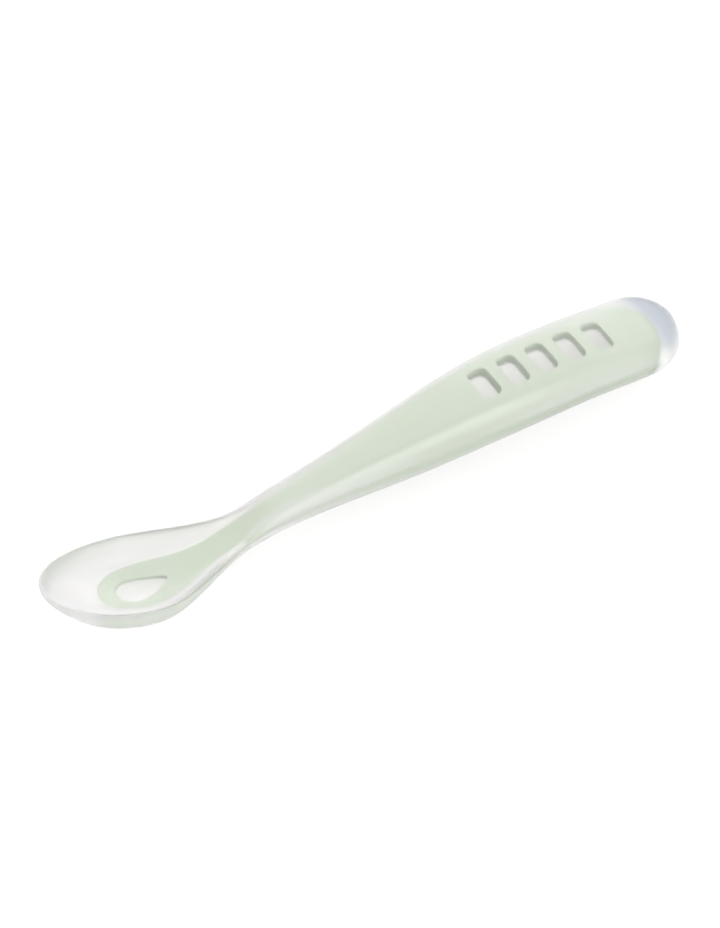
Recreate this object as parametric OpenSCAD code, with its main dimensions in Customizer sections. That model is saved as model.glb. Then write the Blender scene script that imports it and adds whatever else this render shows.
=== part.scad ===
// Baby spoon: a rigid coloured core moulded inside a soft clear silicone skin.
// X runs from the tip of the bowl to the end of the handle, Y is across, Z is up.
// The origin is under the middle of the spoon, and the back of the bowl touches Z = 0.

/* [Overall] */
// Length from the tip of the bowl to the end of the handle
spoon_len = 170; // [140:1:200]
// Widest part of the bowl, measured across
bowl_w = 24; // [18:0.5:32]
// Distance from the tip to the widest part of the bowl
bowl_x = 23; // [20:0.5:27]
// Width of the neck behind the bowl
neck_w = 9.8; // [8:0.2:12]
// Distance from the tip to the narrowest part of the neck
neck_x = 53; // [50:0.5:60]
// Width of the handle
grip_w = 22; // [18:0.5:26]
// Length of the handle that has the full width, with its rounded end
grip_len = 40; // [30:1:60]
// Length of the rounded end of the handle
end_len = 12; // [8:0.5:18]

/* [Edge line heights] */
// Height of the rim at the tip of the bowl
tip_h = 17.4; // [15:0.1:20]
// Height of the rim in the front half of the bowl
fore_h = 11.6; // [11:0.1:13]
// Height of the rim at the widest part of the bowl
bowl_h = 7; // [6.6:0.1:8]
// Height of the rim where the bowl runs into the neck
throat_h = 5.6; // [5.2:0.1:6.6]
// Height of the widest line at the neck
neck_h = 6.7; // [6.2:0.1:7.6]
// Height of the widest line where the handle rises
rise_h = 7.1; // [6.8:0.1:8.4]
// Height of the widest line in the front half of the grip
grip_h = 7.8; // [7.2:0.1:9]
// Height of the widest line in the rear half of the grip
hold_h = 6.2; // [5.7:0.1:7.2]
// Height of the widest line near the heel of the handle
heel_h = 3.9; // [3.6:0.1:4.8]
// Height of the widest line at the very end
end_h = 3.8; // [3.5:0.1:4.6]

/* [Section] */
// How far the top of the handle domes above its shoulders
crown = 2.2; // [1.4:0.1:3]
// Size of the rounding over the top of the handle
top_round = 5.8; // [5:0.1:6.6]
// Size of the rounding under the widest line
under_round = 5.2; // [4.9:0.1:5.8]
// Depth of the dish below the rim of the bowl
dish_depth = 6.2; // [5.4:0.1:6.4]
// How far the back of the bowl bulges below its side walls
belly = 2.4; // [2.1:0.1:3.2]
// Depth by which the two resting places underneath are cut flat
rest_flat = 0.2; // [0.1:0.05:0.3]

/* [Core] */
// Distance from the tip of the bowl to the front of the core
core_front = 13.5; // [11:0.5:16]
// Distance from the tip to the widest part of the tongue
tongue_x = 24; // [21:0.5:28]
// Width of the tongue that lies in the bowl
tongue_w = 13.8; // [11:0.2:16]
// Distance from the tip to where the tongue has narrowed to the stem
stem_x = 44; // [40:0.5:49]
// Distance from the tip to where the core has its full depth
deep_x = 80; // [66:1:90]
// Width of the core in the neck
stem_w = 6.6; // [5.4:0.2:7.4]
// Thickness of clear silicone beside the core in the handle
grip_wall = 2.4; // [1.4:0.1:3]
// Clear silicone left beyond the rear end of the core
end_clear = 6; // [4:0.5:9]
// Length of the rounded rear end of the core
core_end_len = 10; // [7:0.5:14]
// Thickness of clear silicone over the core in the bowl
skin = 0.8; // [0.6:0.1:1]
// Thickness of clear silicone over the core in the handle
grip_skin = 2.2; // [1.6:0.1:2.8]
// Thickness of the core in the bowl
tongue_t = 1.6; // [1.2:0.1:1.9]
// Thickness of clear silicone under the core in the handle
core_under = 1.4; // [1:0.1:2.2]
// Rounding of the long edges of the core
core_edge = 2.4; // [1:0.1:2.6]
// Thickness of the core at the handle windows, where it is hollowed from below
web_t = 5.2; // [4:0.1:6]
// Length over which the hollow under the windows fades out at each end
web_run = 4; // [3:0.5:6]
// Distance beside the windows over which the core thickens again
web_side = 2.6; // [2:0.1:3.4]

/* [Windows] */
// Distance from the tip of the bowl to the middle of the drop window
drop_x = 24.4; // [22:0.2:27]
// Length of the drop window in the bowl
drop_len = 13; // [9:0.5:14]
// Width of the drop window in the bowl
drop_w = 6.4; // [4:0.2:7]
// Number of windows in the row on the handle
slot_count = 5; // [3:1:5]
// Distance from the end of the handle to the middle of the last handle window
slot_back = 21.8; // [20:0.2:26]
// Spacing of the handle windows
slot_pitch = 7.9; // [6.8:0.1:8.4]
// Width of one handle window, along the spoon
slot_w = 5; // [3:0.1:6]
// Length of one handle window, across the spoon
slot_len = 8.6; // [6:0.2:10]
// Rounding of the corners of the handle windows
slot_round = 1.6; // [0.5:0.1:1.9]

/* [Shape shares] */
// Roundness of the tip, as a power
tip_power = 2; // [1.8:0.1:2.6]
// Roundness of the handle end, as a power
end_power = 2.3; // [1.9:0.1:2.8]
// Fullness of the dish across the bowl, as a power
dish_power = 2.6; // [2:0.1:3.2]
// How strongly the top of the handle core follows the dome above it
core_flat = 0.9; // [0.86:0.01:0.96]

/* [Hidden] */

bowl_hw = bowl_w / 2;
neck_hw = neck_w / 2;
grip_hw = grip_w / 2;
grip_x = spoon_len - grip_len;
tongue_hw = tongue_w / 2;
stem_hw = stem_w / 2;
side_wall = neck_hw - stem_hw;
core_back = spoon_len - end_clear;
core_end_x = core_back - core_end_len;
core_hw = grip_hw - grip_wall;
row_end = spoon_len - slot_back + slot_pitch;
row_start = row_end - (slot_count + 1) * slot_pitch;
probe = spoon_len / 100000;
cut_h = tip_h + top_round;

// Places of the named heights and of the section shares, as shares of the length
line_share = [0, 0.08, 0.165, 0.265, 0.365, 0.53, 0.675, 0.825, 0.93, 1];
line_x = spoon_len * line_share;
line_z = [tip_h, fore_h, bowl_h, throat_h, neck_h, rise_h, grip_h, hold_h, heel_h, end_h];
form_share = [0, 0.06, 0.15, 0.27, 0.365, 0.59, 0.765, 0.92, 1];
form_x = spoon_len * form_share;
crown_share = [0, 0, 0, 0.12, 0.5, 0.88, 1, 0.75, 0.4];
top_share = [0.15, 0.15, 0.15, 0.22, 0.45, 0.92, 1, 0.85, 0.68];
under_share = [0.5, 1.15, 1.2, 0.72, 0.92, 1.36, 0.95, 1, 0.88];
reach_share = [0.5, 0.5, 0.55, 0.7, 0.9, 1, 1, 1, 1];
belly_share = [0, 0.8, 1, 0.35, 0.1, 0, 0, 0, 0];
dish_place_share = [0, 0.06, 0.12, 0.19, 0.26, 0.34];
dish_x = spoon_len * dish_place_share;
dish_share = [0, 0.77, 1, 0.78, 0.38, 0];
thick_place_share = [0, 0.22, 0.36, 0.55, 1];
thick_x = spoon_len * thick_place_share;
thick_share = [0, 0.03, 0.5, 0.9, 1];

// Facet counts
stations = 80;
core_stations = 62;
half_ring = 18;
core_half_ring = 14;
corner_facets = 20;
drop_facets = 32;
end_pull = 0.8;

core_green = [0.66, 0.76, 0.64];
clear_tint = [0.93, 0.94, 0.93, 0.35];

// A smooth step from 0 to 1
function ease(t) = let(c = min(max(t, 0), 1)) c * c * (3 - 2 * c);

// Which span of the list holds x
function span(xs, x, i = 0) = i >= len(xs) - 2 || x < xs[i + 1] ? i : span(xs, x, i + 1);

// Slope of the smooth line at one of its knots
function knot_slope(xs, ys, i) =
    let(a = max(i - 1, 0), b = min(i + 1, len(xs) - 1)) (ys[b] - ys[a]) / (xs[b] - xs[a]);

// A smooth line through the knots, read at x
function along(xs, ys, x) =
    let(
        i = span(xs, x),
        h = xs[i + 1] - xs[i],
        t = min(max((x - xs[i]) / h, 0), 1),
        m0 = knot_slope(xs, ys, i) * h,
        m1 = knot_slope(xs, ys, i + 1) * h,
        rise = ys[i + 1] - ys[i]
    )
    ys[i] + t * m0 + t * t * (3 * rise - 2 * m0 - m1) + t * t * t * (m0 + m1 - 2 * rise);

// A rounded end that closes over the given length
function round_end(t, power) = sqrt(max(1 - pow(min(max(t, 0), 1), power), 0));

// Half width of the spoon at x
function half_w(x) =
    x < bowl_x ? bowl_hw * round_end((bowl_x - x) / bowl_x, tip_power)
    : x < neck_x ? bowl_hw + (neck_hw - bowl_hw) * ease((x - bowl_x) / (neck_x - bowl_x))
    : x < spoon_len - end_len ? neck_hw + (grip_hw - neck_hw) * ease((x - neck_x) / (grip_x - neck_x))
    : grip_hw * round_end((x - spoon_len + end_len) / end_len, end_power);

// Clear silicone beside the core, from the neck to the handle
function wall_at(x) = side_wall + (grip_wall - side_wall) * ease((x - neck_x) / (grip_x - neck_x));

// Half width of the core at x
function core_half_w(x) =
    x < tongue_x ? tongue_hw * round_end((tongue_x - x) / (tongue_x - core_front), 2)
    : x < stem_x ? tongue_hw + (stem_hw - tongue_hw) * ease((x - tongue_x) / (stem_x - tongue_x))
    : x < neck_x ? stem_hw
    : x < core_end_x ? half_w(x) - wall_at(x)
    : core_hw * round_end((x - core_end_x) / core_end_len, end_power);

// Half the rate at which the square of a half width changes
function lean(a, b, gap) = (b * b - a * a) / (2 * gap);
function spoon_lean(x) =
    let(a = max(x - probe, 0), b = min(x + probe, spoon_len)) lean(half_w(a), half_w(b), b - a);
function core_lean(x) =
    let(a = max(x - probe, core_front), b = min(x + probe, core_back))
    lean(core_half_w(a), core_half_w(b), b - a);

// Distance of a point in from an outline
function inset(w, g, y) = max(w * w - y * y, 0) / (2 * sqrt(g * g + y * y) + probe);

// A quarter round that rises over the given distance
function quarter(d, reach) = let(q = min(d / reach, 1)) sqrt(q * (2 - q));

// Everything about the skin at one place along the spoon
function dish_at(x) = x < dish_x[len(dish_x) - 1] ? dish_depth * along(dish_x, dish_share, x) : 0;
function station(x) = [
    half_w(x),
    spoon_lean(x),
    along(line_x, line_z, x),
    top_round * along(form_x, top_share, x),
    under_round * along(form_x, under_share, x),
    crown * along(form_x, crown_share, x),
    belly * along(form_x, belly_share, x),
    dish_at(x),
    along(form_x, reach_share, x)
];
function hump(s, y, power) = s[0] > probe ? max(1 - pow(abs(y) / s[0], power), 0) : 0;
function top_z(s, y) =
    s[2] + s[3] * quarter(inset(s[0], s[1], y), s[3]) + s[5] * hump(s, y, 2) - s[7] * hump(s, y, dish_power);
function bare_under_z(s, y) =
    s[2] - s[4] * quarter(inset(s[0], s[1], y), s[4] * s[8]) - s[6] * hump(s, y, 2);

// The underside is cut flat at the two places where the spoon rests
lowest = min([for (i = [1 : stations]) let(s = station(place(i, stations, 0, spoon_len))) bare_under_z(s, 0)]);
rest_z = lowest + rest_flat;
function under_z(s, y) = max(bare_under_z(s, y), rest_z);

// The core keeps an even thickness in the bowl and fills nearly the whole depth of the handle
function grown(x) = along(thick_x, thick_share, x);
function skin_over(x) = skin + (grip_skin - skin) * grown(x);
function follow(x) = 1 - ease((x - tongue_x) / (deep_x - tongue_x));

// The hollow under the row of handle windows, from 0 outside it to 1 under the windows
function hollow(x, y) =
    ease((x - row_start) / web_run) * ease((row_end - x) / web_run)
    * (1 - ease((abs(y) - slot_len / 2) / web_side));

function core_z(x, s, w, g, y, side) =
    let(
        top = top_z(s, y * (1 - (1 - core_flat) * grown(x))) - skin_over(x),
        solid = under_z(s, 0) + core_under,
        web = top_z(s, 0) - skin_over(x) - web_t,
        deep = solid + max(web - solid, 0) * hollow(x, y),
        bottom = deep + (top - tongue_t - deep) * follow(x),
        half = (top - bottom) / 2
    )
    (top + bottom) / 2 + side * half * quarter(inset(w, g, y), core_edge);

// Places of the rings: closer together at both ends
function place(i, n, a, b) =
    let(t = i / (n + 1)) a + (b - a) * (end_pull * (1 - cos(180 * t)) / 2 + (1 - end_pull) * t);

function skin_ring(x) =
    let(s = station(x))
    concat(
        [for (k = [0 : half_ring]) let(y = s[0] * cos(180 * k / half_ring)) [x, y, top_z(s, y)]],
        [for (k = [half_ring - 1 : -1 : 1]) let(y = s[0] * cos(180 * k / half_ring)) [x, y, under_z(s, y)]]
    );

function core_ring(x) =
    let(s = station(x), w = core_half_w(x), g = core_lean(x), n = core_half_ring)
    concat(
        [for (k = [0 : n]) let(y = w * cos(180 * k / n)) [x, y, core_z(x, s, w, g, y, 1)]],
        [for (k = [n - 1 : -1 : 1]) let(y = w * cos(180 * k / n)) [x, y, core_z(x, s, w, g, y, -1)]]
    );

// Closes a row of rings between two end points into one solid
module loft(first, rings, last) {
    m = len(rings[0]);
    n = len(rings);
    points = concat([first], [for (r = rings) each r], [last]);
    front = [for (j = [0 : m - 1]) [0, 1 + j, 1 + (j + 1) % m]];
    sides_a = [for (i = [0 : n - 2], j = [0 : m - 1]) [1 + i * m + j, 1 + (i + 1) * m + j, 1 + (i + 1) * m + (j + 1) % m]];
    sides_b = [for (i = [0 : n - 2], j = [0 : m - 1]) [1 + i * m + j, 1 + (i + 1) * m + (j + 1) % m, 1 + i * m + (j + 1) % m]];
    back = [for (j = [0 : m - 1]) [1 + n * m, 1 + (n - 1) * m + (j + 1) % m, 1 + (n - 1) * m + j]];
    polyhedron(points = points, faces = concat(front, sides_a, sides_b, back));
}

module spoon_body() {
    loft(
        [0, 0, tip_h],
        [for (i = [1 : stations]) skin_ring(place(i, stations, 0, spoon_len))],
        [spoon_len, 0, end_h]
    );
}

module core_body() {
    front = station(core_front);
    back = station(core_back);
    loft(
        [core_front, 0, core_z(core_front, front, 0, 0, 0, 0)],
        [for (i = [1 : core_stations]) core_ring(place(i, core_stations, core_front, core_back))],
        [core_back, 0, core_z(core_back, back, 0, 0, 0, 0)]
    );
}

// The drop window in the bowl: full at the front, pointed toward the neck
module drop_window() {
    outline = [
        for (k = [0 : drop_facets - 1])
            let(a = 360 * k / drop_facets)
            [drop_x + drop_len / 2 * cos(a), drop_w / 2 * sin(a) * (1 - 0.45 * cos(a))]
    ];
    linear_extrude(height = cut_h) polygon(outline);
}

// One rounded window through the handle
module slot_window(x) {
    translate([x, 0, 0])
        linear_extrude(height = cut_h)
            offset(r = slot_round, $fn = corner_facets)
                square([slot_w - 2 * slot_round, slot_len - 2 * slot_round], center = true);
}

module core_solid() {
    difference() {
        core_body();
        drop_window();
        for (i = [0 : slot_count - 1]) slot_window(spoon_len - slot_back - i * slot_pitch);
    }
}

// Moves the spoon so that the origin is under its middle and it lies on the table
module placed() {
    translate([-spoon_len / 2, 0, -rest_z]) children();
}

module rigid_core() {
    color(core_green) placed() core_solid();
}

module silicone_overmould() {
    color(clear_tint)
        placed()
            difference() {
                spoon_body();
                core_solid();
            }
}

rigid_core();
silicone_overmould();
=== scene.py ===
"""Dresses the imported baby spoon: a clear silicone skin over a pale green core, on a pale studio floor.

Every length is in metres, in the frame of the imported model. Inside the shape functions, x runs from the
tip of the bowl to the end of the handle, and the finished meshes are moved to the model's own origin.
"""

import math

import bmesh
import bpy
import numpy as np
from bpy.props import FloatProperty, FloatVectorProperty, IntProperty, PointerProperty
from bpy.types import Operator, Panel, PropertyGroup
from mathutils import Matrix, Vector


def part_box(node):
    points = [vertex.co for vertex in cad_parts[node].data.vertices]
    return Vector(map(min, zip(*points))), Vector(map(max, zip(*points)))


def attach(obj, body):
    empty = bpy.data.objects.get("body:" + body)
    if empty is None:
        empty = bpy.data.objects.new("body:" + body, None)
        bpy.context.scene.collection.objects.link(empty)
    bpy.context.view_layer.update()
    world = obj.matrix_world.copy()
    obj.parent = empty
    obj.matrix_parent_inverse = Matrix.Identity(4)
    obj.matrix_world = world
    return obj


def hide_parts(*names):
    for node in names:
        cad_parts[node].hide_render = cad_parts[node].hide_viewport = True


bl_info = {
    "name": "Baby spoon",
    "version": (1, 0, 0),
    "blender": (4, 5, 0),
    "location": "View3D > Sidebar > Spoon",
    "description": "Builds a clear silicone baby spoon with a moulded core over its packed frame",
    "category": "Add Mesh",
}

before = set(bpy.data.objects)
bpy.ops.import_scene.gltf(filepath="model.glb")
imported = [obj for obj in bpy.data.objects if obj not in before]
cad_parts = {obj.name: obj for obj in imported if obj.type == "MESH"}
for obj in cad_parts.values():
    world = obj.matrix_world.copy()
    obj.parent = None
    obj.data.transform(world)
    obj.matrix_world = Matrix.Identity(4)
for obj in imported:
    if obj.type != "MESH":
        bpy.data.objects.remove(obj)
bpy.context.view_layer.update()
SKIN_LOW, SKIN_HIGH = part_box("silicone_overmould")
MM = 0.001
WHITE = (1, 1, 1)
PLASTIC_IOR = 1.46
SILICONE_IOR = 1.41
# Bounces after which light inside the silicone goes straight on
MOST_BOUNCES = 6
# Fewer points than this mean that cutting the windows failed
LEAST_CORE_POINTS = 1000


def length(name, about, millimetres):
    """A size of the spoon, written in millimetres and kept in metres."""
    return FloatProperty(name=name, description=about, default=millimetres * MM, unit="LENGTH", precision=5)


def amount(name, about, value):
    """A plain number with no unit."""
    return FloatProperty(name=name, description=about, default=value, precision=3)


def tint(name, about, value):
    """A colour of a finish."""
    return FloatVectorProperty(
        name=name, description=about, subtype="COLOR", size=3, min=0, max=1, default=value
    )


def glow_of(name, about, value):
    """A colour of light, which may be stronger than white."""
    return FloatVectorProperty(name=name, description=about, subtype="COLOR", size=3, default=value)


def toward(name, about, value):
    """A direction, or a point in metres."""
    return FloatVectorProperty(name=name, description=about, subtype="XYZ", size=3, default=value)


def turn(name, about, degrees):
    """An angle, written in degrees and kept in radians."""
    return FloatProperty(name=name, description=about, subtype="ANGLE", default=math.radians(degrees))


# Places along the spoon, as shares of its length, and how strong each form is there
LINE_SHARES = (0, 0.08, 0.165, 0.265, 0.365, 0.53, 0.675, 0.825, 0.93, 1)
FORM_PLACE_SHARES = (0, 0.06, 0.15, 0.27, 0.365, 0.59, 0.765, 0.92, 1)
CROWN_SHARES = (0, 0, 0, 0.12, 0.5, 0.88, 1, 0.75, 0.4)
TOP_SHARES = (0.15, 0.15, 0.15, 0.22, 0.45, 0.92, 1, 0.85, 0.68)
UNDER_SHARES = (0.5, 1.15, 1.2, 0.72, 0.92, 1.36, 0.95, 1, 0.88)
REACH_SHARES = (0.5, 0.5, 0.55, 0.7, 0.9, 1, 1, 1, 1)
BELLY_SHARES = (0, 0.8, 1, 0.35, 0.1, 0, 0, 0, 0)
DISH_PLACE_SHARES = (0, 0.06, 0.12, 0.19, 0.26, 0.34)
DISH_SHARES = (0, 0.77, 1, 0.78, 0.38, 0)
THICK_PLACE_SHARES = (0, 0.22, 0.36, 0.55, 1)
THICK_SHARES = (0, 0.03, 0.5, 0.9, 1)
# Height of the shoulders over the widest line, as a share of the top rounding
SHOULDER_SHARE = 0.4
# How strongly the rings of a mesh crowd toward its two ends
CROWDING_SHARE = 0.8
# Distance over which the lean of an outline is measured, as a share of the length
PROBE_SHARE = 0.00001
# Points along the spoon at which its lowest level is looked for
LEVEL_POINTS = 600
# Softboxes: name, place, point it faces, width and height in metres, power in watts
SOFTBOXES = (
    ("overhead softbox", (-0.1, 0.2, 1.2), (0, 0, 0), (1.4, 1.2), 3),
    ("near softbox", (0.22, -0.91, 0.35), (0, 0, 0.01), (0.46, 0.48), 3.4),
)


class SpoonSizes(PropertyGroup):
    """The shape of the spoon, the same as its solids."""

    spoon_len: length("Length", "From the tip of the bowl to the end of the handle", 170)
    bowl_w: length("Bowl width", "Widest part of the bowl", 24)
    bowl_x: length("Bowl place", "From the tip to the widest part of the bowl", 23)
    neck_w: length("Neck width", "Width of the neck behind the bowl", 9.8)
    neck_x: length("Neck place", "From the tip to the narrowest part of the neck", 53)
    grip_w: length("Handle width", "Width of the handle", 22)
    grip_len: length("Full handle", "Length of the handle that has the full width", 40)
    end_len: length("Rounded end", "Length of the rounded end of the handle", 12)
    tip_h: length("Tip height", "Height of the rim at the tip", 17.4)
    fore_h: length("Front height", "Height of the rim in the front half of the bowl", 11.6)
    bowl_h: length("Rim height", "Height of the rim at the widest part", 7)
    throat_h: length("Throat height", "Height of the rim where the bowl runs into the neck", 5.6)
    neck_h: length("Neck height", "Height of the widest line at the neck", 6.7)
    rise_h: length("Rise height", "Height of the widest line where the handle rises", 7.1)
    grip_h: length("Grip height", "Height of the widest line in the front of the grip", 7.8)
    hold_h: length("Hold height", "Height of the widest line in the rear of the grip", 6.2)
    heel_h: length("Heel height", "Height of the widest line near the heel", 3.9)
    end_h: length("End height", "Height of the widest line at the very end", 3.8)
    crown: length("Crown", "How far the top domes above its shoulders", 2.2)
    top_round: length("Top rounding", "Size of the rounding over the top of the handle", 5.8)
    under_round: length("Under rounding", "Size of the rounding under the widest line", 5.2)
    dish_depth: length("Dish depth", "Depth of the dish below the rim", 6.2)
    belly: length("Belly", "How far the back of the bowl bulges", 2.4)
    rest_flat: length("Resting flat", "How deep the two resting places are cut flat", 0.2)
    flat_soft: length("Flat softness", "Rounding of the edges of the resting places", 0.1)
    core_front: length("Core front", "From the tip to the front of the core", 13.5)
    tongue_x: length("Tongue place", "From the tip to the widest part of the tongue", 24)
    tongue_w: length("Tongue width", "Width of the tongue in the bowl", 13.8)
    stem_x: length("Stem place", "From the tip to where the tongue has narrowed", 44)
    deep_x: length("Full depth", "From the tip to where the core has its full depth", 80)
    stem_w: length("Stem width", "Width of the core in the neck", 6.6)
    grip_wall: length("Handle wall", "Silicone beside the core in the handle", 2.4)
    end_clear: length("Clear end", "Clear silicone beyond the rear end of the core", 6)
    core_end_len: length("Core end", "Length of the rounded rear end of the core", 10)
    skin: length("Bowl skin", "Silicone over the core in the bowl", 0.8)
    grip_skin: length("Handle skin", "Silicone over the core in the handle", 2.2)
    tongue_t: length("Tongue thickness", "Thickness of the core in the bowl", 1.6)
    core_under: length("Skin under core", "Silicone under the core in the handle", 1.4)
    core_edge: length("Core edge", "Rounding of the long edges of the core", 2.4)
    web_t: length("Web thickness", "Thickness of the core at the handle windows", 5.2)
    web_run: length("Web run", "Length over which the core thins to the web", 4)
    web_side: length("Web side", "Distance beside the windows over which the core thickens again", 2.6)
    drop_x: length("Drop place", "From the tip to the middle of the drop window", 24.4)
    drop_len: length("Drop length", "Length of the drop window", 13)
    drop_w: length("Drop width", "Width of the drop window", 6.4)
    drop_point: amount("Drop point", "How much the drop window narrows toward the neck", 0.45)
    slot_count: IntProperty(name="Windows", description="Number of windows in the row", default=5)
    slot_back: length("Last window", "From the end of the handle to the last window", 21.8)
    slot_pitch: length("Window spacing", "Spacing of the handle windows", 7.9)
    slot_w: length("Window width", "Width of one window, along the spoon", 5)
    slot_len: length("Window length", "Length of one window, across the spoon", 8.6)
    slot_round: length("Window corners", "Rounding of the corners of the windows", 1.6)
    lip_round: length("Window lip", "Small rounding where a window meets a face", 0.25)
    parting: length("Parting line", "How far the mould's parting line stands out", 0.02)
    tip_power: amount("Tip roundness", "Roundness of the tip, as a power", 2)
    end_power: amount("End roundness", "Roundness of the handle end, as a power", 2.3)
    dish_power: amount("Dish fullness", "Fullness of the dish across the bowl, as a power", 2.6)
    core_flat: amount("Core dome", "How strongly the core follows the dome above it", 0.9)


class SpoonFinish(PropertyGroup):
    """Colours and gloss of the two mouldings."""

    core_color: tint("Core", "Pale green of the core", (0.54, 0.615, 0.495))
    core_deep: tint("Core, deeper", "The slightly deeper green in its mottling", (0.515, 0.59, 0.47))
    core_rough: amount("Core roughness", "Roughness of the core's surface", 0.5)
    core_grain: length("Core grain", "Height of the grain on the core", 0.02)
    skin_color: tint("Silicone", "Tint of the clear silicone", (0.93, 0.925, 0.935))
    # Painted shade: the grey-blue of the shaded floor under the core's end, as seen through the clear end,
    # painted into the silicone's colour there
    end_shade_color: tint("Thick silicone", "Tint where the silicone is thick and clear", (0.6, 0.64, 0.73))
    end_shade_run: length("Thick run", "Length over which that tint comes in", 4)
    clearness: amount("Clearness", "Share of light that the silicone lets through", 0.9)
    skin_rough: amount("Silicone roughness", "Roughness of the silicone's surface", 0.29)
    skin_grain: length("Silicone grain", "Height of the grain on the silicone", 0.0008)
    bloom_color: tint("Bloom", "Colour of the milky bloom of the silicone", (0.8, 0.785, 0.8))
    bloom: amount("Bloom strength", "How strong the milky bloom gets", 0.5)
    bloom_from: amount("Bloom start", "Slant at which it starts, from 0 for facing to 1 for edge-on", 0.5)
    bloom_full: amount("Bloom full", "Slant at which it is full", 0.9)
    bloom_neck: amount("Bloom, neck", "How much sooner the bloom starts in the neck", 0.38)
    bloom_edge: amount("Bloom, sides", "How much sooner it starts at the shoulders' sides", 0.45)


class SpoonStage(PropertyGroup):
    """Camera, floor and light."""

    look_at: toward("Looks at", "Point the camera looks at", (-0.002, 0.0007, 0.0075))
    azimuth: turn("Turn", "Camera's turn round the spoon", 33.2)
    elevation: turn("Elevation", "Camera's height above the floor", 50)
    distance: length("Distance", "From the camera to the spoon", 850)
    lens: amount("Lens", "Focal length in millimetres", 144.8)
    floor_size: length("Floor", "Width of the floor", 4000)
    floor_color: tint("Floor colour", "Colour of the floor", (0.74, 0.74, 0.73))
    floor_seen: tint("Floor, seen", "Colour of the floor where it is seen, unlifted", (0.25, 0.25, 0.25))
    floor_lift: amount("Floor lift", "How much brighter the floor is where it is seen", 0.78)
    # Painted shade: where the floor is seen through the silicone its lift is dimmed, standing for the spoon's
    # shade on the floor under it, and made a little creamier
    through: tint("Floor through silicone", "How the silicone dims the floor's lift", (0.84, 0.84, 0.8))
    sky: tint("Sky", "Colour and strength of the light from all round", (0.72, 0.72, 0.71))
    glow: glow_of("Backdrop", "Colour and strength of the backdrop", (2.3, 2.25, 2.3))
    glow_toward: toward("Backdrop side", "Where the backdrop lies", (0.5, 0.87, 0.15))
    # Painted reflection: a warm glow in the world that only glossy and transmission rays see, so it shows in
    # the silicone but lights nothing
    warm_reflection: glow_of("Warm side", "Colour of the studio's warm side in the silicone", (1.7, 1.58, 1.2))
    reflection_side: toward("Warm place", "Where the warm side lies", (-0.5, 0.6, 0.5))
    side_from: amount("Side start", "How far the backdrop and the warm side reach, 1 for not at all", 0.5)


# Shape of the spoon


def ease(t):
    """A smooth step from 0 to 1."""
    t = np.clip(t, 0, 1)
    return t * t * (3 - 2 * t)


def along(knots, values, x):
    """A smooth line through the knots, read at x."""
    knots, values = np.asarray(knots, float), np.asarray(values, float)
    last = len(knots) - 1
    i = np.clip(np.searchsorted(knots, x, side="right") - 1, 0, last - 1)
    before = np.maximum(np.arange(last + 1) - 1, 0)
    after = np.minimum(np.arange(last + 1) + 1, last)
    slope = (values[after] - values[before]) / (knots[after] - knots[before])
    gap = knots[i + 1] - knots[i]
    t = np.clip((x - knots[i]) / gap, 0, 1)
    m0, m1, rise = slope[i] * gap, slope[i + 1] * gap, values[i + 1] - values[i]
    return values[i] + t * m0 + t**2 * (3 * rise - 2 * m0 - m1) + t**3 * (m0 + m1 - 2 * rise)


def round_end(t, power):
    """A rounded end that closes as t goes from 0 to 1."""
    return np.sqrt(np.maximum(1 - np.clip(t, 0, 1) ** power, 0))


def quarter(d, reach):
    """A quarter round that rises over the given distance."""
    q = np.minimum(d / reach, 1)
    return np.sqrt(q * (2 - q))


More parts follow.
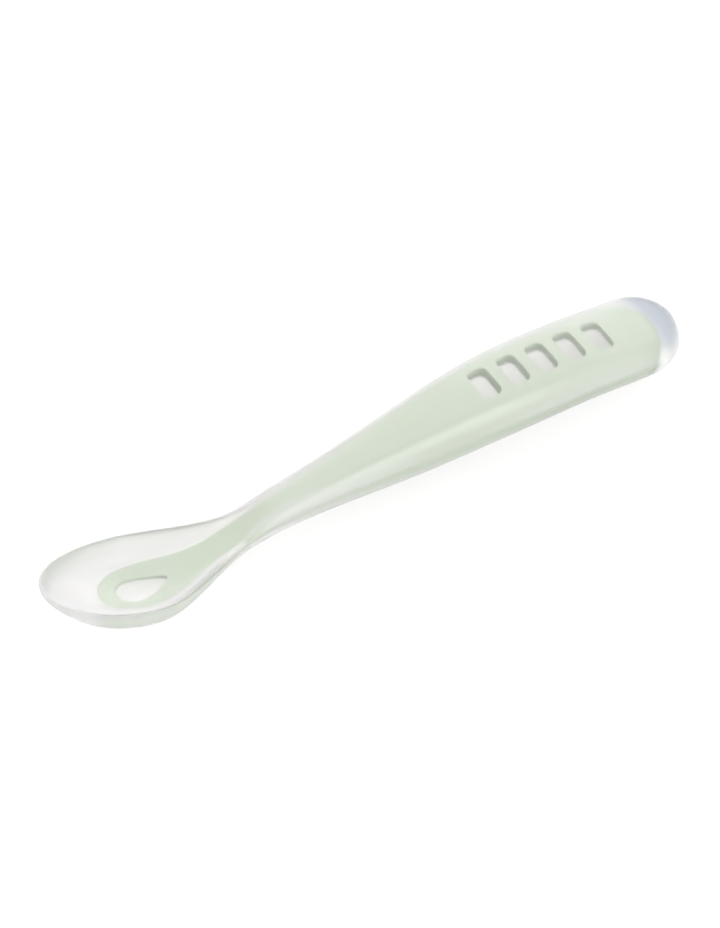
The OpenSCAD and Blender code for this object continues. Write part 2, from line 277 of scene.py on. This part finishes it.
class SpoonShape:
    """Heights and widths of the skin and the core, from the named sizes."""

    def __init__(self, s):
        self.s = s
        self.probe = s.spoon_len * PROBE_SHARE
        self.side_wall = (s.neck_w - s.stem_w) / 2
        self.core_back = s.spoon_len - s.end_clear
        self.heights = (
            s.tip_h, s.fore_h, s.bowl_h, s.throat_h, s.neck_h,
            s.rise_h, s.grip_h, s.hold_h, s.heel_h, s.end_h,
        )
        self.row_end = s.spoon_len - s.slot_back + s.slot_pitch
        self.row_start = self.row_end - (s.slot_count + 1) * s.slot_pitch
        x = np.linspace(0, s.spoon_len, LEVEL_POINTS)[1:-1]
        self.rest = float(self.bare_under(x, 0 * x).min()) + s.rest_flat

    def at(self, places, shares, x):
        """Reads shares that stand at places along the spoon."""
        return along(np.array(places) * self.s.spoon_len, shares, x)

    def form(self, shares, x):
        """Reads how strong a form is at a place along the spoon."""
        return self.at(FORM_PLACE_SHARES, shares, x)

    def half_width(self, x):
        """Half the width of the skin."""
        s = self.s
        bowl, neck, grip = s.bowl_w / 2, s.neck_w / 2, s.grip_w / 2
        grip_x, end_x = s.spoon_len - s.grip_len, s.spoon_len - s.end_len
        return np.select(
            [x < s.bowl_x, x < s.neck_x, x < end_x],
            [
                bowl * round_end((s.bowl_x - x) / s.bowl_x, s.tip_power),
                bowl + (neck - bowl) * ease((x - s.bowl_x) / (s.neck_x - s.bowl_x)),
                neck + (grip - neck) * ease((x - s.neck_x) / (grip_x - s.neck_x)),
            ],
            grip * round_end((x - end_x) / s.end_len, s.end_power),
        )

    def core_half_width(self, x):
        """Half the width of the core."""
        s = self.s
        tongue, stem, grip = s.tongue_w / 2, s.stem_w / 2, s.grip_w / 2 - s.grip_wall
        end_x = self.core_back - s.core_end_len
        widening = ease((x - s.neck_x) / (s.spoon_len - s.grip_len - s.neck_x))
        wall = self.side_wall + (s.grip_wall - self.side_wall) * widening
        return np.select(
            [x < s.tongue_x, x < s.stem_x, x < s.neck_x, x < end_x],
            [
                tongue * round_end((s.tongue_x - x) / (s.tongue_x - s.core_front), 2),
                tongue + (stem - tongue) * ease((x - s.tongue_x) / (s.stem_x - s.tongue_x)),
                stem + 0 * x,
                self.half_width(x) - wall,
            ],
            grip * round_end((x - end_x) / s.core_end_len, s.end_power),
        )

    def inset(self, width, x, y, low, high):
        """How far a point lies in from the outline that width draws."""
        a, b = np.maximum(x - self.probe, low), np.minimum(x + self.probe, high)
        lean = (width(b) ** 2 - width(a) ** 2) / (2 * (b - a))
        return np.maximum(width(x) ** 2 - y * y, 0) / (2 * np.sqrt(lean**2 + y * y) + self.probe)

    def skin_inset(self, x, y):
        """How far a point lies in from the outline of the skin."""
        return self.inset(self.half_width, x, y, 0, self.s.spoon_len)

    def core_inset(self, x, y):
        """How far a point lies in from the outline of the core."""
        return self.inset(self.core_half_width, x, y, self.s.core_front, self.core_back)

    def hump(self, x, y, power):
        """A rise from 0 at both sides to 1 in the middle."""
        w = np.maximum(self.half_width(x), self.probe)
        return np.maximum(1 - (np.abs(y) / w) ** power, 0)

    def edge(self, x):
        """Height of the rim and of the widest line."""
        return self.at(LINE_SHARES, self.heights, x)

    def top(self, x, y):
        """Height of the upper face, with the dish in the bowl and the dome of the handle."""
        s = self.s
        r = s.top_round * self.form(TOP_SHARES, x)
        dish_end = DISH_PLACE_SHARES[-1] * s.spoon_len
        dish = np.where(x < dish_end, s.dish_depth * self.at(DISH_PLACE_SHARES, DISH_SHARES, x), 0)
        dome = s.crown * self.form(CROWN_SHARES, x) * self.hump(x, y, 2)
        shoulder = r * quarter(self.skin_inset(x, y), r)
        return self.edge(x) + shoulder + dome - dish * self.hump(x, y, s.dish_power)

    def bare_under(self, x, y):
        """Height of the underside before its resting places are cut flat."""
        s = self.s
        r = s.under_round * self.form(UNDER_SHARES, x)
        reach = r * self.form(REACH_SHARES, x)
        sag = s.belly * self.form(BELLY_SHARES, x) * self.hump(x, y, 2)
        return self.edge(x) - r * quarter(self.skin_inset(x, y), reach) - sag

    def under(self, x, y):
        """Height of the underside, flat where the spoon rests and soft at the edges of the flats."""
        over = self.bare_under(x, y) - self.rest
        return self.rest + (over + np.sqrt(over**2 + self.s.flat_soft**2)) / 2

    def core(self, x, y, side):
        """Height of the core's top (side 1) or underside (side -1)."""
        s = self.s
        grown = self.at(THICK_PLACE_SHARES, THICK_SHARES, x)
        over = s.skin + (s.grip_skin - s.skin) * grown
        follow = 1 - ease((x - s.tongue_x) / (s.deep_x - s.tongue_x))
        top = self.top(x, y * (1 - (1 - s.core_flat) * grown)) - over
        deep = self.under(x, 0 * y) + s.core_under
        web = self.top(x, 0 * y) - over - s.web_t
        row = ease((x - self.row_start) / s.web_run) * ease((self.row_end - x) / s.web_run)
        channel = row * (1 - ease((np.abs(y) - s.slot_len / 2) / s.web_side))
        deep = deep + np.maximum(web - deep, 0) * channel
        bottom = deep + (top - s.tongue_t - deep) * follow
        half = (top - bottom) / 2
        return (top + bottom) / 2 + side * half * quarter(self.core_inset(x, y), s.core_edge)

    def beside(self, x, y, z):
        """How far to the side the skin lies, fading out below the shoulders and past the core."""
        s = self.s
        share = np.abs(y) / np.maximum(self.half_width(x), self.probe)
        shoulder = ease((z - self.edge(x)) / (SHOULDER_SHARE * s.top_round))
        return share * shoulder * ease((self.core_back - x) / s.core_end_len)


# Meshes


def places(count, start, end):
    """Ring places, closer together at both ends."""
    t = np.arange(1, count + 1) / (count + 1)
    crowded = (1 - np.cos(np.pi * t)) / 2
    return start + (end - start) * (CROWDING_SHARE * crowded + (1 - CROWDING_SHARE) * t)


def loft(name, width, top, under, start, end, rings, around):
    """A closed moulding between two ends, from its half width and the heights of its two faces."""
    x = places(rings, start, end)[:, None]
    angle = np.linspace(0, np.pi, around + 1)[None, :]
    y = width(x) * np.cos(angle)
    upper = np.stack([x + 0 * y, y, top(x, y)], -1)
    lower = np.stack([x + 0 * y, y, under(x, y)], -1)[:, -2:0:-1]
    ring = np.concatenate([upper, lower], 1)
    m = ring.shape[1]
    tips = [[at, 0.0, float(top(np.array([at]), np.array([0.0]))[0])] for at in (start, end)]
    points = [tips[0]] + ring.reshape(-1, 3).tolist() + [tips[1]]
    faces = []
    for j in range(m):
        k = (j + 1) % m
        faces.append((0, 1 + k, 1 + j))
        faces.append((1 + rings * m, 1 + (rings - 1) * m + j, 1 + (rings - 1) * m + k))
        for i in range(rings - 1):
            a, b = 1 + i * m, 1 + (i + 1) * m
            faces.append((a + j, a + k, b + k, b + j))
    mesh = bpy.data.meshes.new(name)
    mesh.from_pydata(points, [], faces)
    mesh.update()
    obj = bpy.data.objects.new(name, mesh)
    bpy.context.scene.collection.objects.link(obj)
    return obj


def prism(bm, outline, height):
    """A closed upright column on an outline, to cut a window with."""
    low = [bm.verts.new((x, y, 0)) for x, y in outline]
    high = [bm.verts.new((x, y, height)) for x, y in outline]
    bm.faces.new(low[::-1])
    bm.faces.new(high)
    for i in range(len(outline)):
        j = (i + 1) % len(outline)
        bm.faces.new((low[i], low[j], high[j], high[i]))


def drop_outline(s, count=72):
    """The drop window: full at the front, pointed toward the neck."""
    angle = np.linspace(0, 2 * np.pi, count, endpoint=False)
    x = s.drop_x + s.drop_len / 2 * np.cos(angle)
    y = s.drop_w / 2 * np.sin(angle) * (1 - s.drop_point * np.cos(angle))
    return list(zip(x, y))


def slot_outline(s, middle, corner=12):
    """A handle window: a rectangle with round corners."""
    points = []
    for k, (sx, sy) in enumerate(((1, 1), (-1, 1), (-1, -1), (1, -1))):
        cx = middle + sx * (s.slot_w / 2 - s.slot_round)
        cy = sy * (s.slot_len / 2 - s.slot_round)
        for t in np.linspace(0, np.pi / 2, corner):
            a = t + k * np.pi / 2
            points.append((cx + s.slot_round * math.cos(a), cy + s.slot_round * math.sin(a)))
    return points


def cut_windows(core, s):
    """Cuts the drop window and the row of handle windows through the core."""
    height = s.tip_h + s.top_round
    bm = bmesh.new()
    prism(bm, drop_outline(s), height)
    for i in range(s.slot_count):
        prism(bm, slot_outline(s, s.spoon_len - s.slot_back - i * s.slot_pitch), height)
    mesh = bpy.data.meshes.new("windows")
    bm.to_mesh(mesh)
    bm.free()
    tool = bpy.data.objects.new("windows", mesh)
    bpy.context.scene.collection.objects.link(tool)
    cut = core.modifiers.new("windows", "BOOLEAN")
    cut.operation = "DIFFERENCE"
    cut.solver = "EXACT"
    cut.object = tool
    apply_modifiers(core)
    bpy.data.objects.remove(tool)
    if len(core.data.vertices) < LEAST_CORE_POINTS:
        raise RuntimeError("cutting the windows left no core")


def apply_modifiers(obj):
    """Makes an object's modifiers part of its mesh."""
    bpy.context.view_layer.update()
    graph = bpy.context.evaluated_depsgraph_get()
    mesh = bpy.data.meshes.new_from_object(obj.evaluated_get(graph))
    obj.modifiers.clear()
    obj.data = mesh


def settle(obj, shape, material, node):
    """Moves a finished moulding to the model's origin and ties it to its solid."""
    for v in obj.data.vertices:
        v.co.x += SKIN_LOW[0]
        v.co.z -= shape.rest
    obj.data.shade_smooth()
    obj.data.materials.clear()
    obj.data.materials.append(material)
    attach(obj, "root")
    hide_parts(node)


# Materials


def smooth_range(nodes, links, value, given, wanted):
    """Turns one range of a value into another by a smooth step, and returns the result's socket."""
    part = nodes.new("ShaderNodeMapRange")
    part.interpolation_type = "SMOOTHSTEP"
    for name, number in zip(("From Min", "From Max", "To Min", "To Max"), (*given, *wanted)):
        part.inputs[name].default_value = number
    links.new(value, part.inputs["Value"])
    return part.outputs["Result"]


def math_node(nodes, links, operation, *values):
    """Works out a sum from numbers and sockets, and returns the result's socket."""
    node = nodes.new("ShaderNodeMath")
    node.operation = operation
    for socket, value in zip(node.inputs, values):
        if isinstance(value, bpy.types.NodeSocket):
            links.new(value, socket)
        else:
            socket.default_value = value
    return node.outputs[0]


def shader_mix(nodes, links, factor, first, second):
    """Mixes two shader nodes, and returns the mix node."""
    mix = nodes.new("ShaderNodeMixShader")
    links.new(factor, mix.inputs[0])
    links.new(first.outputs[0], mix.inputs[1])
    links.new(second.outputs[0], mix.inputs[2])
    return mix


def colour_mix(nodes, links, factor, a, b):
    """Mixes two colours, each given as a value or as a socket, and returns the result's socket."""
    mix = nodes.new("ShaderNodeMix")
    mix.data_type = "RGBA"
    links.new(factor, mix.inputs["Factor"])
    for name, colour in (("A", a), ("B", b)):
        if isinstance(colour, bpy.types.NodeSocket):
            links.new(colour, mix.inputs[name])
        else:
            mix.inputs[name].default_value = (*colour, 1)
    return mix.outputs["Result"]


def moulded_surface():
    """A node group: the fine unevenness of a moulded surface, as a height, a mottling and a roughness."""
    group = bpy.data.node_groups.new("moulded surface", "ShaderNodeTree")
    given_values = {"Grain size": 2000, "Mottle size": 60, "Roughness": 0.4, "Roughness spread": 0.1}
    for name, value in given_values.items():
        socket = group.interface.new_socket(name, in_out="INPUT", socket_type="NodeSocketFloat")
        socket.default_value = value
    for name in ("Height", "Mottle", "Roughness"):
        group.interface.new_socket(name, in_out="OUTPUT", socket_type="NodeSocketFloat")
    nodes, links = group.nodes, group.links
    given, out = nodes.new("NodeGroupInput"), nodes.new("NodeGroupOutput")
    place = nodes.new("ShaderNodeTexCoord")
    grain, mottle, smudge = (nodes.new("ShaderNodeTexNoise") for _ in range(3))
    for noise, detail, rough in ((grain, 3, 0.6), (mottle, 2, 0.5), (smudge, 4, 0.6)):
        noise.inputs["Detail"].default_value = detail
        noise.inputs["Roughness"].default_value = rough
        links.new(place.outputs["Object"], noise.inputs["Vector"])
    links.new(given.outputs["Grain size"], grain.inputs["Scale"])
    links.new(given.outputs["Mottle size"], mottle.inputs["Scale"])
    links.new(given.outputs["Mottle size"], smudge.inputs["Scale"])
    centred = math_node(nodes, links, "SUBTRACT", smudge.outputs["Fac"], 0.5)
    spread = math_node(
        nodes, links, "MULTIPLY_ADD", centred, given.outputs["Roughness spread"], given.outputs["Roughness"]
    )
    links.new(grain.outputs["Fac"], out.inputs["Height"])
    links.new(mottle.outputs["Fac"], out.inputs["Mottle"])
    links.new(spread, out.inputs["Roughness"])
    return group


def new_material(name):
    """An empty node material with its output and one Principled shader."""
    material = bpy.data.materials.new(name)
    material.use_nodes = True
    nodes = material.node_tree.nodes
    nodes.clear()
    out = nodes.new("ShaderNodeOutputMaterial")
    shader = nodes.new("ShaderNodeBsdfPrincipled")
    material.node_tree.links.new(shader.outputs[0], out.inputs["Surface"])
    return material, nodes, material.node_tree.links, shader, out


def place_surface(nodes, links, shader, values, bump_height):
    """Adds the shared moulded surface and feeds its roughness and bump to the shader."""
    surface = nodes.new("ShaderNodeGroup")
    surface.node_tree = bpy.data.node_groups.get("moulded surface") or moulded_surface()
    for name, value in values.items():
        surface.inputs[name].default_value = value
    bump = nodes.new("ShaderNodeBump")
    bump.inputs["Distance"].default_value = bump_height
    bump.inputs["Strength"].default_value = 1
    links.new(surface.outputs["Height"], bump.inputs["Height"])
    links.new(bump.outputs["Normal"], shader.inputs["Normal"])
    links.new(surface.outputs["Roughness"], shader.inputs["Roughness"])
    return surface


def core_material(finish):
    """Satin moulded plastic, pale green with a faint mottling."""
    material, nodes, links, shader, _ = new_material("core plastic")
    surface = place_surface(
        nodes, links, shader,
        {"Grain size": 2600, "Mottle size": 90, "Roughness": finish.core_rough, "Roughness spread": 0.15},
        finish.core_grain,
    )
    mottled = colour_mix(nodes, links, surface.outputs["Mottle"], finish.core_color, finish.core_deep)
    links.new(mottled, shader.inputs["Base Color"])
    shader.inputs["IOR"].default_value = PLASTIC_IOR
    return material


def skin_material(finish, s):
    """Clear silicone with a satin surface, milky at a slant, with painted shade in its clear end: a grey-blue
    that stands for the shaded floor seen through it.
    """
    material, nodes, links, shader, out = new_material("clear silicone")
    place_surface(
        nodes, links, shader,
        {"Grain size": 2500, "Mottle size": 45, "Roughness": finish.skin_rough, "Roughness spread": 0.05},
        finish.skin_grain,
    )
    place = nodes.new("ShaderNodeTexCoord")
    split = nodes.new("ShaderNodeSeparateXYZ")
    links.new(place.outputs["Object"], split.inputs[0])
    x = split.outputs["X"]
    stem, neck = SKIN_LOW[0] + s.stem_x, SKIN_LOW[0] + s.neck_x
    # Painted shade: toward the clear end the silicone's colour turns to the grey-blue of the shaded floor
    # seen through it
    solid_end = SKIN_HIGH[0] - s.core_end_len
    end_shade = smooth_range(nodes, links, x, (solid_end, solid_end + finish.end_shade_run), (0, 1))
    tinted = colour_mix(nodes, links, end_shade, finish.skin_color, finish.end_shade_color)
    links.new(tinted, shader.inputs["Base Color"])
    shader.inputs["Transmission Weight"].default_value = finish.clearness
    shader.inputs["IOR"].default_value = SILICONE_IOR

    # The milky bloom: it grows with the slant, and starts sooner in the neck and at the sides
    beside = nodes.new("ShaderNodeAttribute")
    beside.attribute_name = "beside"
    at_sides = smooth_range(nodes, links, beside.outputs["Fac"], (0, 1), (0, finish.bloom_edge))
    at_neck = smooth_range(nodes, links, x, (neck, neck + s.neck_x), (finish.bloom_neck, 0))
    past_bowl = smooth_range(nodes, links, x, (stem, neck), (0, 1))
    facing = nodes.new("ShaderNodeLayerWeight")
    sooner = math_node(nodes, links, "ADD", at_neck, at_sides)
    slant = math_node(nodes, links, "MULTIPLY_ADD", past_bowl, sooner, facing.outputs["Facing"])
    share = smooth_range(nodes, links, slant, (finish.bloom_from, finish.bloom_full), (0, finish.bloom))
    bloom = nodes.new("ShaderNodeBsdfDiffuse")
    bloom.inputs["Color"].default_value = (*finish.bloom_color, 1)
    hazy = shader_mix(nodes, links, share, shader, bloom)

    # Shadows, diffuse light and light that bounced too often pass straight through
    path = nodes.new("ShaderNodeLightPath")
    passing = math_node(
        nodes, links, "MAXIMUM", path.outputs["Is Shadow Ray"], path.outputs["Is Diffuse Ray"]
    )
    trapped = math_node(nodes, links, "GREATER_THAN", path.outputs["Ray Depth"], MOST_BOUNCES)
    straight = math_node(nodes, links, "MAXIMUM", passing, trapped)
    mix = shader_mix(nodes, links, straight, hazy, nodes.new("ShaderNodeBsdfTransparent"))
    links.new(mix.outputs[0], out.inputs["Surface"])
    return material


def floor_material(stage):
    """A pale floor that the camera sees as white. Through the silicone it is a little greyer, as painted
    shade of the spoon on the floor under it, and a little creamier.
    """
    material, nodes, links, shader, _ = new_material("studio floor")
    path = nodes.new("ShaderNodeLightPath")
    through = path.outputs["Is Transmission Ray"]
    bare = math_node(nodes, links, "MAXIMUM", path.outputs["Is Camera Ray"], path.outputs["Is Glossy Ray"])
    seen = math_node(nodes, links, "MAXIMUM", bare, through)

    # Painted shade: rays through the silicone see a dimmer, creamier lift than the camera sees
    lift = (stage.floor_lift,) * 3
    shaded_lift = tuple(stage.floor_lift * c for c in stage.through)
    links.new(colour_mix(nodes, links, through, lift, shaded_lift), shader.inputs["Emission Color"])
    links.new(seen, shader.inputs["Emission Strength"])
    base = colour_mix(nodes, links, seen, stage.floor_color, stage.floor_seen)
    links.new(base, shader.inputs["Base Color"])
    shader.inputs["Roughness"].default_value = 0.8
    shader.inputs["Specular IOR Level"].default_value = 0
    return material


def studio_world(stage):
    """An even studio with a brighter backdrop, white to the camera, and a painted warm reflection to one side
    that shows only in the silicone and lights nothing.
    """
    world = bpy.data.worlds.new("studio")
    world.use_nodes = True
    nodes, links = world.node_tree.nodes, world.node_tree.links
    background = nodes["Background"]
    place = nodes.new("ShaderNodeTexCoord")
    masks = []
    for side in (stage.glow_toward, stage.reflection_side):
        facing = nodes.new("ShaderNodeVectorMath")
        facing.operation = "DOT_PRODUCT"
        facing.inputs[1].default_value = Vector(side).normalized()
        links.new(place.outputs["Generated"], facing.inputs[0])
        masks.append(smooth_range(nodes, links, facing.outputs["Value"], (stage.side_from, 1), (0, 1)))
    backdrop, warm_reflection = masks
    light = colour_mix(nodes, links, backdrop, stage.sky, stage.glow)
    shown = colour_mix(nodes, links, backdrop, WHITE, stage.glow)
    # Painted reflection: the warm side goes only into what the silicone mirrors and lets through, not into
    # the light
    shown = colour_mix(nodes, links, warm_reflection, shown, stage.warm_reflection)
    path = nodes.new("ShaderNodeLightPath")
    mirrored = math_node(
        nodes, links, "MAXIMUM", path.outputs["Is Glossy Ray"], path.outputs["Is Transmission Ray"]
    )
    around = colour_mix(nodes, links, mirrored, light, shown)
    seen = colour_mix(nodes, links, path.outputs["Is Camera Ray"], around, WHITE)
    links.new(seen, background.inputs["Color"])
    return world


# Operators


class SPOON_OT_core(Operator):
    """Builds the moulded core, with its drop window and the row of handle windows."""

    bl_idname = "spoon.core"
    bl_label = "Core"

    def execute(self, context):
        s = context.scene.spoon_sizes
        shape = SpoonShape(s)
        core = loft(
            "core", shape.core_half_width,
            lambda x, y: shape.core(x, y, 1), lambda x, y: shape.core(x, y, -1),
            s.core_front, shape.core_back, rings=220, around=44,
        )
        cut_windows(core, s)
        soften = core.modifiers.new("lips", "BEVEL")
        soften.width = s.lip_round
        soften.segments = 3
        soften.limit_method = "ANGLE"
        soften.angle_limit = math.radians(50)
        apply_modifiers(core)
        settle(core, shape, core_material(context.scene.spoon_finish), "rigid_core")
        return {"FINISHED"}


class SPOON_OT_skin(Operator):
    """Builds the clear silicone skin: bowl, neck, handle and clear end in one moulding."""

    bl_idname = "spoon.skin"
    bl_label = "Silicone skin"

    def execute(self, context):
        s = context.scene.spoon_sizes
        shape = SpoonShape(s)
        skin = loft(
            "skin", shape.half_width, shape.top, shape.under, 0.0, s.spoon_len, rings=360, around=60
        )
        x, y, z = np.array([v.co for v in skin.data.vertices]).T
        beside = skin.data.attributes.new("beside", "FLOAT", "POINT")
        beside.data.foreach_set("value", shape.beside(x, y, z))
        close = s.parting / 10
        for v in skin.data.vertices[1:-1]:
            if abs(v.co.z - shape.edge(v.co.x)) < close:
                v.co.y += math.copysign(s.parting, v.co.y)
        material = skin_material(context.scene.spoon_finish, s)
        settle(skin, shape, material, "silicone_overmould")
        return {"FINISHED"}


def add_softbox(name, place, aim, size, power):
    """A rectangular soft light that faces a point."""
    data = bpy.data.lights.new(name, "AREA")
    data.shape = "RECTANGLE"
    data.size, data.size_y = size
    data.energy = power
    light = bpy.data.objects.new(name, data)
    light.location = place
    light.rotation_euler = (Vector(aim) - Vector(place)).to_track_quat("-Z", "Y").to_euler()
    bpy.context.scene.collection.objects.link(light)


def add_floor(stage):
    """A large square floor, which isn't part of the spoon."""
    half = stage.floor_size / 2
    mesh = bpy.data.meshes.new("floor")
    corners = [(-half, -half, 0), (half, -half, 0), (half, half, 0), (-half, half, 0)]
    mesh.from_pydata(corners, [], [(0, 1, 2, 3)])
    mesh.materials.append(floor_material(stage))
    floor = bpy.data.objects.new("floor", mesh)
    bpy.context.scene.collection.objects.link(floor)


class SPOON_OT_stage(Operator):
    """Sets up the pale floor, the soft light and the camera."""

    bl_idname = "spoon.stage"
    bl_label = "Stage"

    def execute(self, context):
        stage = context.scene.spoon_stage
        scene = context.scene
        scene.view_settings.view_transform = "Standard"
        add_floor(stage)
        scene.world = studio_world(stage)
        for softbox in SOFTBOXES:
            add_softbox(*softbox)

        camera = bpy.data.objects.new("camera", bpy.data.cameras.new("camera"))
        camera.data.lens = stage.lens
        camera.data.sensor_width = 36
        camera.data.clip_start = 0.01
        flat = math.cos(stage.elevation)
        across, along_floor = math.sin(stage.azimuth) * flat, math.cos(stage.azimuth) * flat
        look = Vector((across, along_floor, -math.sin(stage.elevation)))
        camera.location = Vector(stage.look_at) - look * stage.distance
        camera.rotation_euler = look.to_track_quat("-Z", "Y").to_euler()
        scene.collection.objects.link(camera)
        scene.camera = camera
        return {"FINISHED"}


class SPOON_PT_panel(Panel):
    """Lists the pieces of the spoon and their sizes."""

    bl_idname = "SPOON_PT_panel"
    bl_label = "Baby spoon"
    bl_space_type = "VIEW_3D"
    bl_region_type = "UI"
    bl_category = "Spoon"

    def draw(self, context):
        layout = self.layout
        for operator in OPERATORS:
            layout.operator(operator.bl_idname)
        for group in (context.scene.spoon_sizes, context.scene.spoon_finish, context.scene.spoon_stage):
            column = layout.column(align=True)
            for name in group.__annotations__:
                column.prop(group, name)


GROUPS = {"spoon_sizes": SpoonSizes, "spoon_finish": SpoonFinish, "spoon_stage": SpoonStage}
OPERATORS = (SPOON_OT_stage, SPOON_OT_core, SPOON_OT_skin)


def register():
    for cls in (*GROUPS.values(), *OPERATORS, SPOON_PT_panel):
        bpy.utils.register_class(cls)
    for name, group in GROUPS.items():
        setattr(bpy.types.Scene, name, PointerProperty(type=group))


def unregister():
    for name in GROUPS:
        delattr(bpy.types.Scene, name)
    for cls in (SPOON_PT_panel, *reversed(OPERATORS), *reversed(GROUPS.values())):
        bpy.utils.unregister_class(cls)


def main():
    register()
    bpy.ops.spoon.stage()
    bpy.ops.spoon.core()
    bpy.ops.spoon.skin()


if __name__ == "__main__":
    main()
